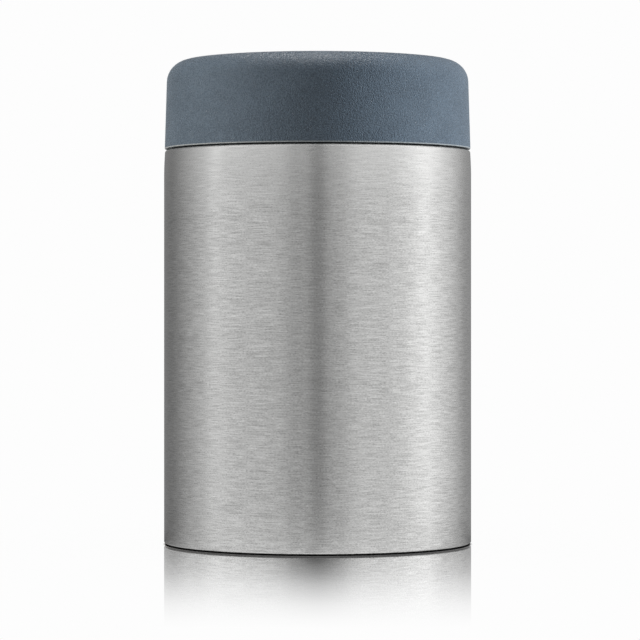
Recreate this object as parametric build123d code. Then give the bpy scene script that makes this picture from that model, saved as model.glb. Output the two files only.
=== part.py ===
from build123d import *
import math
import os

# Insulated food jar: a double-walled steel jar, a stopper with a vent button, and a screw lid.
# Millimetres, +Z up, origin on the resting plane under the middle of the jar, front towards -Y.
# Radii are measured from the jar's axis, and every thread has the same lead, so that a lid or
# stopper that turns by one turn rises by that lead wherever it sits.

# ---------------------------------------------------------------- driving dimensions

# Outer steel shell
BODY_DIAMETER = 85.0
BODY_HEIGHT = 108.8             # resting plane to the flat shoulder
SHELL_WALL = 0.5
SHELL_BASE_RADIUS = 0.6         # bottom corner
SHOULDER_RADIUS = 0.7           # top corner
SHOULDER_LEAD_IN = 0.27         # how much the wall closes in below the shoulder
SHOULDER_LEAD_HEIGHT = 5.0
SHOULDER_LEAD_BLEND = 60.0      # radius that blends the lead-in into the straight wall
BASE_FLANGE_WIDTH = 4.5         # turned-in flange at the foot of the shell

# Neck and mouth
SHOULDER_WIDTH = 6.5            # shell's side to the neck
NECK_HEIGHT = 9.6               # shoulder to the top of the lip
NECK_FILLET = 1.0
LIP_WIDTH = 3.0                 # outside of the neck to the mouth
LIP_DEPTH = 1.6                 # how far the rolled lip comes down the outside
LIP_ROUND = 0.9

# Inner steel vessel
VESSEL_WALL = 0.4
VACUUM_GAP = 4.7                # between the side walls
VACUUM_FLOOR_GAP = 5.2          # between the vacuum base and the vessel's floor
FLOOR_RADIUS = 7.0
VESSEL_SHOULDER_RADIUS = 3.0
VESSEL_NECK_LENGTH = 13.0       # straight wall under the lip
FOIL_THICKNESS = 0.1
FOIL_LOWER_MARGIN = 10.0        # from the inside floor to the foil
FOIL_UPPER_MARGIN = 3.0         # from the foil to the vessel's shoulder

# Base
FOOT_PROUD = 0.5                # the foot ring stands out below the steel
FOOT_WIDTH = 3.8
FOOT_EDGE_RADIUS = 0.3
VACUUM_BASE_WALL = 0.5
VACUUM_BASE_RISE = 2.9          # from the rim of the vacuum base up to its web
VACUUM_BASE_BEND = 0.3          # inside radius of its bends
VACUUM_BASE_RIM_GAP = 0.1       # to the shell's bottom corner
BASE_COVER_WALL = 0.4
BASE_COVER_INSET = 0.7          # cover's face above the steel edge
BASE_COVER_GAP = 0.1            # past the vacuum base's bend
BASE_COVER_CORNER = 0.8
DIMPLE_RADIUS = 4.6
DIMPLE_DEPTH = 1.0
DIMPLE_SLOPE = 0.9
PUMP_HOLE_RADIUS = 0.9
PLUG_BEAD_RADIUS = 3.2
PLUG_BEAD_HEIGHT = 0.8
GETTER_DISTANCE = 18.0          # from the axis
GETTER_RADIUS = 4.2
GETTER_THICKNESS = 1.2
GETTER_CLIP_WALL = 0.3
GETTER_CLIP_LIP = 0.5           # clip wall above the pellet

# Threads: quick, four short ridges each, one lead for all
THREAD_STARTS = 4
THREAD_LEAD = 16.0
THREAD_HEIGHT = 1.1
THREAD_ROOT_WIDTH = 2.0
THREAD_CREST_WIDTH = 1.1
THREAD_EMBED = 0.3              # ridge foot sunk into its own wall
THREAD_RUN_OUT = 0.1            # the ends fade until they are this far inside the wall
THREAD_CLEARANCE = 0.4          # crest to the facing wall
THREAD_LOAD_SHIFT = 0.2         # ridges sit this much nearer to the flank that pulls
NECK_RIDGE_SPAN = 70.0          # degrees
CAP_RIDGE_SPAN = 50.0
CAP_RIDGE_START = 12.0          # degrees along the neck ridge
NECK_RIDGE_FOOT = 3.6           # shoulder to the start of the neck ridges
MOUTH_RIDGE_DROP = 9.4          # lip to the start of the mouth ridges
MOUTH_RIDGE_HEIGHT = 1.0

# Lid
LID_HEIGHT = 24.9
LID_SETBACK = 0.18              # lid's rim inside the shell's side
LID_DRAFT = 0.031               # closes in per millimetre of height
LID_WALL = 2.0
LID_TOP_WALL = 2.1
LID_CORNER_RADIUS = 6.0
LID_DOME = 0.57
LID_RIM_EDGE = 0.2
SEAM_GAP = 0.4                  # shoulder to the lid's rim
LINER_WALL = 1.3
LINER_CORNER_RADIUS = 4.0
LINER_RIM_HEIGHT = 3.0
LINER_RIM_LIP = 0.8             # inside the seal's groove
LINER_RIM_RECESS = 0.1
LID_FOAM_THICKNESS = 1.3
LID_FOAM_GAP = 0.2              # to the shell's inner corner
LID_SEAL_HEIGHT = 2.0
SEAL_GAP = 0.3                  # between a seal's sides and its groove

# Stopper
STOPPER_SEAL_WIDTH = 2.5
STOPPER_SEAL_HEIGHT = 1.6
STOPPER_SEAL_EDGE = 0.3
STOPPER_DEPTH = 17.4            # lip to the stopper's underside
STOPPER_WALL = 1.8
STOPPER_CORNER_RADIUS = 2.0
STOPPER_SEAT_HEIGHT = 4.2       # thicker wall under the flange that carries the seal
STOPPER_SEAT_CLEARANCE = 0.4    # to the mouth
STOPPER_FLANGE_WALL = 1.6
STOPPER_COVER_HEIGHT = 2.8
STOPPER_COVER_TOP = 1.6
STOPPER_COVER_EDGE = 0.8
STOPPER_COVER_RIM = 4.0         # from the edge to the shallow dish
STOPPER_DISH_DEPTH = 0.5
STOPPER_FOAM_GAP = 0.2
FLUTES = 36
FLUTE_RADIUS = 1.6
FLUTE_DEPTH = 0.6

# Vent: button, stem and valve seal, sprung upwards
WELL_RADIUS = 12.5
WELL_WALL = 1.4
WELL_FLOOR = 1.4
WELL_RING = 1.8                 # flat ring round the well, level with the stopper's rim
BUTTON_GAP = 0.3
BUTTON_PROUD = 0.2
BUTTON_TOP = 1.6
BUTTON_SKIRT = 1.4
BUTTON_HEIGHT = 6.4
BUTTON_DISH_RADIUS = 60.0       # sphere that hollows the button's top
BUTTON_DISH_DEPTH = 0.7
BUTTON_EDGE = 0.5
BUTTON_TRAVEL = 2.0
BUTTON_STOP_GAP = 0.8           # button above the well's floor when it is pressed
STEM_RADIUS = 2.0
STEM_GAP = 0.5                  # air passage round the stem
STEM_SOCKET_WALL = 1.2
GUIDE_WALL = 1.4
GUIDE_PROUD = 0.6               # guide tube above the well's floor
GUIDE_GAP = 0.3
STEM_FOOT_RADIUS = 5.2
STEM_FOOT_HEIGHT = 1.0
STEM_FOOT_EDGE = 0.3
VALVE_SEAL_RADIUS = 7.5
VALVE_SEAL_HEIGHT = 1.8
VALVE_SEAL_EDGE = 0.4
SPRING_RADIUS = 5.6
SPRING_WIRE = 0.8
SPRING_TURNS = 3.5

# ---------------------------------------------------------------- places worked out from them

body_radius = BODY_DIAMETER / 2
neck_radius = body_radius - SHOULDER_WIDTH
mouth_radius = neck_radius - LIP_WIDTH
vessel_radius = body_radius - SHELL_WALL - VACUUM_GAP - VESSEL_WALL
thread_pitch = THREAD_LEAD / THREAD_STARTS

shoulder_z = BODY_HEIGHT
lip_z = shoulder_z + NECK_HEIGHT
lip_foot_z = lip_z - LIP_DEPTH
neck_foot_z = lip_z - VESSEL_NECK_LENGTH
vessel_shoulder_z = neck_foot_z - (vessel_radius - mouth_radius)

flange_top_z = FOOT_PROUD + SHELL_WALL
flange_radius = body_radius - BASE_FLANGE_WIDTH
web_z = flange_top_z + VACUUM_BASE_RISE
web_top_z = web_z + VACUUM_BASE_WALL
cover_face_z = FOOT_PROUD + BASE_COVER_INSET
cover_radius = flange_radius - VACUUM_BASE_BEND - BASE_COVER_GAP
floor_z = web_top_z + VACUUM_FLOOR_GAP + VESSEL_WALL

lid_rim_z = shoulder_z + SEAM_GAP
lid_top_z = lid_rim_z + LID_HEIGHT
lid_rim_radius = body_radius - LID_SETBACK
lid_ceiling_z = lid_top_z - LID_TOP_WALL
liner_top_z = lid_ceiling_z - LID_FOAM_THICKNESS
liner_ceiling_z = liner_top_z - LINER_WALL
liner_radius = neck_radius + THREAD_HEIGHT + THREAD_CLEARANCE
liner_rim_z = lid_rim_z + LINER_RIM_RECESS
lid_seal_top_z = shoulder_z + LID_SEAL_HEIGHT

plug_radius = mouth_radius - MOUTH_RIDGE_HEIGHT - THREAD_CLEARANCE
seat_radius = mouth_radius - STOPPER_SEAT_CLEARANCE
stopper_seal_radius = seat_radius + SEAL_GAP
stopper_bottom_z = lip_z - STOPPER_DEPTH
stopper_floor_z = stopper_bottom_z + STOPPER_WALL
flange_under_z = lip_z + STOPPER_SEAL_HEIGHT
cover_under_z = flange_under_z + STOPPER_FLANGE_WALL
stopper_top_z = cover_under_z + STOPPER_COVER_HEIGHT
stopper_edge_radius = stopper_seal_radius + STOPPER_SEAL_WIDTH
plug_bore_radius = plug_radius - STOPPER_WALL

guide_bore_radius = STEM_RADIUS + STEM_GAP
guide_radius = guide_bore_radius + GUIDE_WALL
button_radius = WELL_RADIUS - BUTTON_GAP
button_top_z = stopper_top_z + BUTTON_PROUD
button_under_z = button_top_z - BUTTON_TOP
button_foot_z = button_top_z - BUTTON_HEIGHT
well_floor_z = button_foot_z - BUTTON_TRAVEL - BUTTON_STOP_GAP
guide_top_z = well_floor_z + GUIDE_PROUD
socket_radius = STEM_RADIUS + STEM_SOCKET_WALL
socket_foot_z = guide_top_z + BUTTON_TRAVEL + BUTTON_STOP_GAP
stem_foot_top_z = stopper_bottom_z - VALVE_SEAL_HEIGHT

neck_ridge_z = shoulder_z + NECK_RIDGE_FOOT
mouth_ridge_z = lip_z - MOUTH_RIDGE_DROP
ridge_offset_z = THREAD_LOAD_SHIFT - thread_pitch / 2   # a cap's ridge under the ridge that holds it


# ---------------------------------------------------------------- helpers


def disc(radius, low_z, high_z):
    """A round plate on the jar's axis."""
    return Pos(0, 0, low_z) * Cylinder(radius, high_z - low_z, align=(Align.CENTER, Align.CENTER, Align.MIN))


def ring(inner_radius, outer_radius, low_z, high_z):
    """A round ring of rectangular section on the jar's axis."""
    return disc(outer_radius, low_z, high_z) - disc(inner_radius, low_z, high_z)


def turned(*points):
    """A solid turned about the jar's axis from (radius, z) corners."""
    outline = Polyline(*[(r, 0, z) for r, z in points], close=True)
    return revolve(make_face(outline), Axis.Z)


def pressed_sheet(points, radii, wall, side):
    """A sheet pressed to a round form: one face follows the (radius, z) points, with rounded corners."""
    with BuildSketch(Plane.XZ) as section:
        with BuildLine():
            FilletPolyline(*points, radius=radii)
            offset(amount=wall, side=side)
        make_face()
    return revolve(section.sketch, Axis.Z)


def edges_at(solid, radius, z):
    """The round edges of that radius at that height."""
    near = 0.01
    rounds = solid.edges().filter_by(GeomType.CIRCLE)
    return [e for e in rounds if abs(e.radius - radius) < near and abs(e.arc_center.Z - z) < near]


def run_out(root_radius, crest_radius, span):
    """An offset cylinder that meets a ridge's crest at mid span and its wall at both ends."""
    outward = math.copysign(1, crest_radius - root_radius)
    crest = crest_radius + outward * THREAD_RUN_OUT / 2
    root = root_radius - outward * THREAD_RUN_OUT
    reach = crest - root * math.cos(math.radians(span / 2))
    shift = (crest**2 - root**2) / (2 * reach)
    return Pos(shift, 0, 0) * Cylinder(crest - shift, THREAD_LEAD + thread_pitch)


def thread_ridges(root_radius, crest_radius, start_z, start_angle, span):
    """The thread's short ridges, one for each start, with ends that fade into the wall."""
    outward = math.copysign(1, crest_radius - root_radius)
    rise = THREAD_LEAD * span / 360
    path = Helix(pitch=THREAD_LEAD, height=rise, radius=root_radius)
    half_root, half_crest = THREAD_ROOT_WIDTH / 2, THREAD_CREST_WIDTH / 2
    foot, height = -outward * THREAD_EMBED, crest_radius - root_radius
    section = Polyline(
        (foot, -half_root),
        (0, -half_root),
        (height, -half_crest),
        (height, half_crest),
        (0, half_root),
        (foot, half_root),
        close=True,
    )
    start = Plane(origin=path @ 0, x_dir=(1, 0, 0), z_dir=path % 0)
    ridge = sweep(start * make_face(section), path=path, is_frenet=True)
    fade = Rot(0, 0, span / 2) * run_out(root_radius, crest_radius, span)
    ridge = ridge & fade if outward > 0 else ridge - fade
    step = 360 / THREAD_STARTS
    return [Pos(0, 0, start_z) * Rot(0, 0, start_angle + n * step) * ridge for n in range(THREAD_STARTS)]


def flutes(low_z, high_z):
    """The grip flutes round the stopper's edge, as solids to cut away."""
    distance = stopper_edge_radius + FLUTE_RADIUS - FLUTE_DEPTH
    cutter = Pos(distance, 0, 0) * disc(FLUTE_RADIUS, low_z, high_z)
    return [Rot(0, 0, n * 360 / FLUTES) * cutter for n in range(FLUTES)]


# ---------------------------------------------------------------- jar


def outer_shell():
    """Drawn steel shell with a turned-in foot, a flat shoulder and a neck with rolled threads."""
    shell = pressed_sheet(
        [
            (flange_radius, FOOT_PROUD),
            (body_radius, FOOT_PROUD),
            (body_radius, shoulder_z - SHOULDER_LEAD_HEIGHT),
            (body_radius - SHOULDER_LEAD_IN, shoulder_z),
            (neck_radius, shoulder_z),
            (neck_radius, lip_foot_z),
        ],
        [SHELL_BASE_RADIUS, SHOULDER_LEAD_BLEND, SHOULDER_RADIUS, NECK_FILLET],
        SHELL_WALL,
        Side.LEFT,
    )
    crest = neck_radius + THREAD_HEIGHT
    return shell + thread_ridges(neck_radius, crest, neck_ridge_z, 0, NECK_RIDGE_SPAN)


def inner_vessel():
    """Drawn steel vessel: floor, wall, threaded mouth, and the lip that rolls out over the neck."""
    vessel = pressed_sheet(
        [
            (0, floor_z),
            (vessel_radius, floor_z),
            (vessel_radius, vessel_shoulder_z),
            (mouth_radius, neck_foot_z),
            (mouth_radius, lip_z),
            (neck_radius, lip_z),
            (neck_radius, lip_foot_z),
        ],
        [FLOOR_RADIUS, VESSEL_SHOULDER_RADIUS, VESSEL_SHOULDER_RADIUS, LIP_ROUND, LIP_ROUND],
        VESSEL_WALL,
        Side.RIGHT,
    )
    crest = mouth_radius - MOUTH_RIDGE_HEIGHT
    return vessel + thread_ridges(mouth_radius, crest, mouth_ridge_z, 0, NECK_RIDGE_SPAN)


def heat_foil():
    """Copper foil wrapped round the inner vessel, inside the vacuum."""
    inside = vessel_radius + VESSEL_WALL
    low_z, high_z = floor_z + FOIL_LOWER_MARGIN, vessel_shoulder_z - FOIL_UPPER_MARGIN
    return ring(inside, inside + FOIL_THICKNESS, low_z, high_z)


def vacuum_base():
    """Pressed plate that closes the vacuum, with the pump-out hole in a dimple."""
    rim_radius = body_radius - max(SHELL_BASE_RADIUS, SHELL_WALL) - VACUUM_BASE_RIM_GAP
    slope = DIMPLE_SLOPE
    return pressed_sheet(
        [
            (rim_radius, flange_top_z),
            (flange_radius, flange_top_z),
            (flange_radius, web_z),
            (DIMPLE_RADIUS + slope, web_z),
            (DIMPLE_RADIUS, web_z + DIMPLE_DEPTH),
            (PUMP_HOLE_RADIUS, web_z + DIMPLE_DEPTH),
        ],
        [VACUUM_BASE_BEND + VACUUM_BASE_WALL, VACUUM_BASE_BEND, slope, slope],
        VACUUM_BASE_WALL,
        Side.RIGHT,
    )


def vacuum_plug():
    """Glass bead melted into the dimple, with a nib that fills the pump-out hole."""
    top_z = web_z + DIMPLE_DEPTH
    bead = disc(PLUG_BEAD_RADIUS, top_z - PLUG_BEAD_HEIGHT, top_z)
    bead = fillet(edges_at(bead, PLUG_BEAD_RADIUS, top_z - PLUG_BEAD_HEIGHT), PLUG_BEAD_HEIGHT / 2)
    return bead + disc(PUMP_HOLE_RADIUS, top_z, top_z + VACUUM_BASE_WALL)


def base_cover():
    """Thin steel pan that hides the vacuum base and carries the foot ring."""
    return pressed_sheet(
        [(0, cover_face_z), (cover_radius, cover_face_z), (cover_radius, web_z)],
        [BASE_COVER_CORNER],
        BASE_COVER_WALL,
        Side.LEFT,
    )


def foot_ring():
    """Silicone ring under the base cover that the jar stands on."""
    outside = cover_radius - BASE_COVER_CORNER
    foot = ring(outside - FOOT_WIDTH, outside, 0, cover_face_z)
    edges = edges_at(foot, outside, 0) + edges_at(foot, outside - FOOT_WIDTH, 0)
    return fillet(edges, FOOT_EDGE_RADIUS)


def getter_clip():
    """Small steel tray, spot-welded inside the vacuum, that holds the getter pellet."""
    outside = GETTER_RADIUS + GETTER_CLIP_WALL
    height = GETTER_CLIP_WALL + GETTER_THICKNESS + GETTER_CLIP_LIP
    tray = disc(outside, web_top_z, web_top_z + height)
    tray -= disc(GETTER_RADIUS, web_top_z + GETTER_CLIP_WALL, web_top_z + height)
    return Pos(GETTER_DISTANCE, 0, 0) * tray


def getter_pellet():
    """Pressed pellet that takes up stray gas in the vacuum."""
    low_z = web_top_z + GETTER_CLIP_WALL
    return Pos(GETTER_DISTANCE, 0, 0) * disc(GETTER_RADIUS, low_z, low_z + GETTER_THICKNESS)


# ---------------------------------------------------------------- lid


def lid_radius(z):
    """Radius of the lid's drafted outside at a height."""
    return lid_rim_radius - LID_DRAFT * (z - lid_rim_z)


def lid_inner_radius(z):
    """Radius of the lid shell's inside at a height."""
    return lid_radius(z) - LID_WALL


def lid_block():
    """The lid's outer form as a full block: drafted side, round corner and low dome."""
    edge_z = lid_top_z - LID_DOME
    edge_radius = lid_radius(edge_z)
    dome_radius = (edge_radius**2 + LID_DOME**2) / (2 * LID_DOME)
    halfway = edge_radius / 2
    halfway_z = lid_top_z - dome_radius + math.sqrt(dome_radius**2 - halfway**2)
    top, edge, rim = (0, 0, lid_top_z), (edge_radius, 0, edge_z), (lid_rim_radius, 0, lid_rim_z)
    side = Polyline(top, (0, 0, lid_rim_z), rim, edge)
    dome = ThreePointArc(edge, (halfway, 0, halfway_z), top)
    block = revolve(make_face(Curve() + [side, dome]), Axis.Z)
    block = fillet(edges_at(block, edge_radius, edge_z), LID_CORNER_RADIUS)
    return fillet(edges_at(block, lid_rim_radius, lid_rim_z), LID_RIM_EDGE)


def lid_shell():
    """Moulded outer shell of the lid."""
    inside = turned(
        (0, lid_rim_z - SEAM_GAP),
        (lid_inner_radius(lid_rim_z - SEAM_GAP), lid_rim_z - SEAM_GAP),
        (lid_inner_radius(lid_ceiling_z), lid_ceiling_z),
        (0, lid_ceiling_z),
    )
    corner = edges_at(inside, lid_inner_radius(lid_ceiling_z), lid_ceiling_z)
    return lid_block() - fillet(corner, LID_CORNER_RADIUS - LID_WALL)


def lid_liner():
    """Inner cup of the lid: thread ridges inside, and a rim that meets the shell and holds the seal."""
    outside = liner_radius + LINER_WALL
    cup = disc(outside, liner_rim_z, liner_top_z)
    cup = fillet(edges_at(cup, outside, liner_top_z), LINER_CORNER_RADIUS + LINER_WALL)
    bowl = disc(liner_radius, liner_rim_z, liner_ceiling_z)
    bowl = fillet(edges_at(bowl, liner_radius, liner_ceiling_z), LINER_CORNER_RADIUS)
    rim_top_z = liner_rim_z + LINER_RIM_HEIGHT
    rim = turned(
        (liner_radius, liner_rim_z),
        (lid_inner_radius(liner_rim_z), liner_rim_z),
        (lid_inner_radius(rim_top_z), rim_top_z),
        (liner_radius, rim_top_z),
    )
    groove_outside = lid_inner_radius(liner_rim_z) + SEAL_GAP
    groove = ring(liner_radius + LINER_RIM_LIP, groove_outside, lid_rim_z - SEAM_GAP, lid_seal_top_z)
    liner = cup - bowl + rim - groove
    crest = liner_radius - THREAD_HEIGHT
    start_z = neck_ridge_z + THREAD_LEAD * CAP_RIDGE_START / 360 + ridge_offset_z
    return liner + thread_ridges(liner_radius, crest, start_z, CAP_RIDGE_START, CAP_RIDGE_SPAN)


def lid_foam():
    """Foam disc between the liner and the shell."""
    corner = LID_CORNER_RADIUS - LID_WALL
    return disc(lid_inner_radius(lid_ceiling_z) - corner - LID_FOAM_GAP, liner_top_z, lid_ceiling_z)


def lid_seal():
    """Silicone ring in the lid's rim that lies on the jar's shoulder."""
    inside = liner_radius + LINER_RIM_LIP + SEAL_GAP
    return ring(inside, lid_inner_radius(lid_rim_z) - SEAL_GAP, shoulder_z, lid_seal_top_z)


# ---------------------------------------------------------------- stopper


def stopper_body():
    """Lower half of the stopper: threaded plug, seal seat, flange, and the stem's guide tube."""
    plug = disc(plug_radius, stopper_bottom_z, flange_under_z)
    plug = fillet(edges_at(plug, plug_radius, stopper_bottom_z), STOPPER_CORNER_RADIUS)
    seat = disc(seat_radius, flange_under_z - STOPPER_SEAT_HEIGHT, flange_under_z)
    flange = disc(stopper_edge_radius, flange_under_z, cover_under_z) - flutes(flange_under_z, cover_under_z)
    hollow = disc(plug_bore_radius, stopper_floor_z, cover_under_z)
    guide = disc(guide_radius, stopper_bottom_z, guide_top_z)
    bore = disc(guide_bore_radius, stopper_bottom_z, guide_top_z)
    body = plug + seat + flange - hollow + guide - bore
    crest = plug_radius + MOUTH_RIDGE_HEIGHT
    start_z = mouth_ridge_z + THREAD_LEAD * CAP_RIDGE_START / 360 + ridge_offset_z
    return body + thread_ridges(plug_radius, crest, start_z, CAP_RIDGE_START, CAP_RIDGE_SPAN)


def stopper_cover():
    """Upper half of the stopper: fluted rim, dished top, and the well that the button sits in."""
    plate_under_z = stopper_top_z - STOPPER_COVER_TOP
    cover = disc(stopper_edge_radius, cover_under_z, stopper_top_z)
    cover = fillet(edges_at(cover, stopper_edge_radius, stopper_top_z), STOPPER_COVER_EDGE)
    cover -= disc(plug_bore_radius, cover_under_z, plate_under_z)
    well_outside = WELL_RADIUS + WELL_WALL
    dish_inner, dish_outer = WELL_RADIUS + WELL_RING, stopper_edge_radius - STOPPER_COVER_RIM
    cover -= ring(dish_inner, dish_outer, stopper_top_z - STOPPER_DISH_DEPTH, stopper_top_z)
    cover += disc(well_outside, well_floor_z - WELL_FLOOR, plate_under_z)
    cover -= disc(WELL_RADIUS, well_floor_z, stopper_top_z)
    cover -= disc(guide_radius + GUIDE_GAP, well_floor_z - WELL_FLOOR, well_floor_z)
    return cover - flutes(cover_under_z, stopper_top_z)


def stopper_foam():
    """Foam block that fills the stopper round the guide tube and the well."""
    outside = plug_bore_radius - STOPPER_FOAM_GAP
    step_z = well_floor_z - WELL_FLOOR - STOPPER_FOAM_GAP
    top_z = stopper_top_z - STOPPER_COVER_TOP
    foam = ring(guide_radius + STOPPER_FOAM_GAP, outside, stopper_floor_z, top_z)
    return foam - disc(WELL_RADIUS + WELL_WALL + STOPPER_FOAM_GAP, step_z, top_z)


def stopper_seal():
    """Silicone ring under the stopper's flange that lies on the lip."""
    seal = ring(stopper_seal_radius, stopper_edge_radius, lip_z, flange_under_z)
    edges = edges_at(seal, stopper_edge_radius, lip_z) + edges_at(seal, stopper_edge_radius, flange_under_z)
    return fillet(edges, STOPPER_SEAL_EDGE)


# ---------------------------------------------------------------- vent


def vent_button():
    """Hollow push button with a skirt and a socket for the stem."""
    button = disc(button_radius, button_foot_z, button_top_z)
    button = fillet(edges_at(button, button_radius, button_top_z), BUTTON_EDGE)
    button -= Pos(0, 0, button_top_z + BUTTON_DISH_RADIUS - BUTTON_DISH_DEPTH) * Sphere(BUTTON_DISH_RADIUS)
    button -= disc(button_radius - BUTTON_SKIRT, button_foot_z, button_under_z)
    return button + ring(STEM_RADIUS, socket_radius, socket_foot_z, button_under_z)


def vent_stem():
    """Stem that snaps into the button and ends in a wide foot under the valve seal."""
    foot_z = stem_foot_top_z - STEM_FOOT_HEIGHT
    foot = disc(STEM_FOOT_RADIUS, foot_z, stem_foot_top_z)
    foot = fillet(edges_at(foot, STEM_FOOT_RADIUS, foot_z), STEM_FOOT_EDGE)
    return foot + disc(STEM_RADIUS, foot_z, button_under_z)


def valve_seal():
    """Silicone disc on the stem that closes the guide tube from below."""
    seal = disc(VALVE_SEAL_RADIUS, stem_foot_top_z, stopper_bottom_z)
    seal = fillet(edges_at(seal, VALVE_SEAL_RADIUS, stem_foot_top_z), VALVE_SEAL_EDGE)
    return seal - disc(STEM_RADIUS, stem_foot_top_z, stopper_bottom_z)


def vent_spring():
    """Coil spring, ends ground flat, between the well's floor and the button."""
    height = button_under_z - well_floor_z
    path = Helix(pitch=height / SPRING_TURNS, height=height, radius=SPRING_RADIUS)
    section = Plane(origin=path @ 0, z_dir=path % 0) * Circle(SPRING_WIRE / 2)
    coil = Pos(0, 0, well_floor_z) * sweep(section, path=path, is_frenet=True)
    return coil & disc(SPRING_RADIUS + SPRING_WIRE, well_floor_z, button_under_z)


# ---------------------------------------------------------------- write the parts

PARTS = [
    outer_shell,
    inner_vessel,
    heat_foil,
    vacuum_base,
    vacuum_plug,
    base_cover,
    foot_ring,
    getter_clip,
    getter_pellet,
    lid_shell,
    lid_liner,
    lid_foam,
    lid_seal,
    stopper_body,
    stopper_cover,
    stopper_foam,
    stopper_seal,
    vent_button,
    vent_stem,
    valve_seal,
    vent_spring,
]

os.makedirs("parts", exist_ok=True)
for part in PARTS:
    export_step(part(), f"parts/{part.__name__}.step")
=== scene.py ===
# %% [markdown]
# # A steel food jar with a slate screw lid
#
# This lesson dresses a small insulated food jar: a brushed steel body, a slate plastic lid, and
# under the lid a threaded stopper with a press vent. The jar's engineering model is loaded first,
# and it says where every piece is, to a tenth of a millimetre.
#
# Nearly everything on the jar is round, so one tool does most of the work: a section is drawn on
# one side of the axis and spun. The threads, the grip flutes and the finishes are what make it
# look like a jar and not like a tin.

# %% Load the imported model
import math

import bmesh
import bpy
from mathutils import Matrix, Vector


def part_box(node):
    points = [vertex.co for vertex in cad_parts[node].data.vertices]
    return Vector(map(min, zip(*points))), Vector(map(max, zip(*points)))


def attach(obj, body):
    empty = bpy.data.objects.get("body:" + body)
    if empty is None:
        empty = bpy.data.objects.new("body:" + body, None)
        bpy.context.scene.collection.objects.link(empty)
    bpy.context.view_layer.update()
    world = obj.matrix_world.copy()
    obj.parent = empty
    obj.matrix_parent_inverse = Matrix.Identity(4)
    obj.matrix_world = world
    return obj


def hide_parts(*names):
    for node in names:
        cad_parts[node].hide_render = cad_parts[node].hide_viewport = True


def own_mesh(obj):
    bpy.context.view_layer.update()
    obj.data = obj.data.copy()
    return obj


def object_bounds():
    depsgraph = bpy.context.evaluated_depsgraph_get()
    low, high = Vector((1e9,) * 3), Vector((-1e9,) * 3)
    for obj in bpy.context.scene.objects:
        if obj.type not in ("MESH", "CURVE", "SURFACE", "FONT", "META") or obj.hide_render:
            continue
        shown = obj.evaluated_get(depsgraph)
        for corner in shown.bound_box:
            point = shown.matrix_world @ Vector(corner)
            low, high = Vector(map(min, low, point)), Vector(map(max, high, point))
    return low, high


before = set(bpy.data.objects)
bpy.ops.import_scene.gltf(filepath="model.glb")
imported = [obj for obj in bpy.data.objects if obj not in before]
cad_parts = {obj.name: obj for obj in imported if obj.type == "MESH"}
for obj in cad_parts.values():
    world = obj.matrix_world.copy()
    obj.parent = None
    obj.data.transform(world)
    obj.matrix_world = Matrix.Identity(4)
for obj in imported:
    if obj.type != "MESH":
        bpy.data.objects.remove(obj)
cad_low, cad_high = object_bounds()
bpy.ops.object.select_all(action="DESELECT")
MM = 0.001
print("the jar is", [round(side / MM, 1) for side in cad_high - cad_low], "mm")

# %% [markdown]
# ## The camera
#
# A long lens from about ten times the jar's width away keeps its sides nearly parallel. The camera
# stands level, a little above the jar's middle, so that the rim of the lid curves up and the foot
# curves down. A level camera keeps upright edges upright, and the frame is moved down with the
# lens shift and not by tilting the camera.

# %% Camera
CAMERA_DISTANCE = 855 * MM
CAMERA_HEIGHT = 67.9 * MM
FOCAL_LENGTH, SENSOR_WIDTH = 173.5, 36  # mm
FRAME_PIXELS = 640
AXIS_RIGHT, AXIS_DOWN = -2.4, -21.5  # pixels from the frame's centre to the camera's axis

bpy.ops.object.camera_add(location=(0, -CAMERA_DISTANCE, CAMERA_HEIGHT), rotation=(math.pi / 2, 0, 0))
camera = bpy.context.object
camera.name = "camera"
camera.data.lens = FOCAL_LENGTH
camera.data.sensor_width = SENSOR_WIDTH
camera.data.shift_x = -AXIS_RIGHT / FRAME_PIXELS
camera.data.shift_y = AXIS_DOWN / FRAME_PIXELS
bpy.context.scene.camera = camera
bpy.context.scene.view_settings.view_transform = "Standard"
print("camera at", tuple(round(x, 3) for x in camera.location))

# %% [markdown]
# ## Two small helpers for colours and nodes
#
# Colours are written as the hex values that a paint or plastic sample would have. Blender counts
# light in linear values, so one function converts them. Another adds a node, sets its options and
# fills its inputs with numbers or links. A node that is given as a link means its first output.

# %% Colours and nodes
MIX_A, MIX_B, MIX_RESULT = 6, 7, 2  # the numbers of a Mix node's sockets for colours


def linear(hex_colour):
    """An sRGB hex colour as linear red, green, blue and alpha."""
    channels = [int(hex_colour[i : i + 2], 16) / 255 for i in (1, 3, 5)]
    return [c / 12.92 if c <= 0.04045 else ((c + 0.055) / 1.055) ** 2.4 for c in channels] + [1.0]


def add_node(tree, kind, inputs=None, **settings):
    """A new node with its options set and its inputs filled or linked."""
    node = tree.nodes.new(kind)
    for name, value in settings.items():
        setattr(node, name, value)
    for name, value in (inputs or {}).items():
        if isinstance(value, bpy.types.Node):
            value = value.outputs[0]
        if isinstance(value, bpy.types.NodeSocket):
            tree.links.new(value, node.inputs[name])
        else:
            node.inputs[name].default_value = value
    return node


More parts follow.
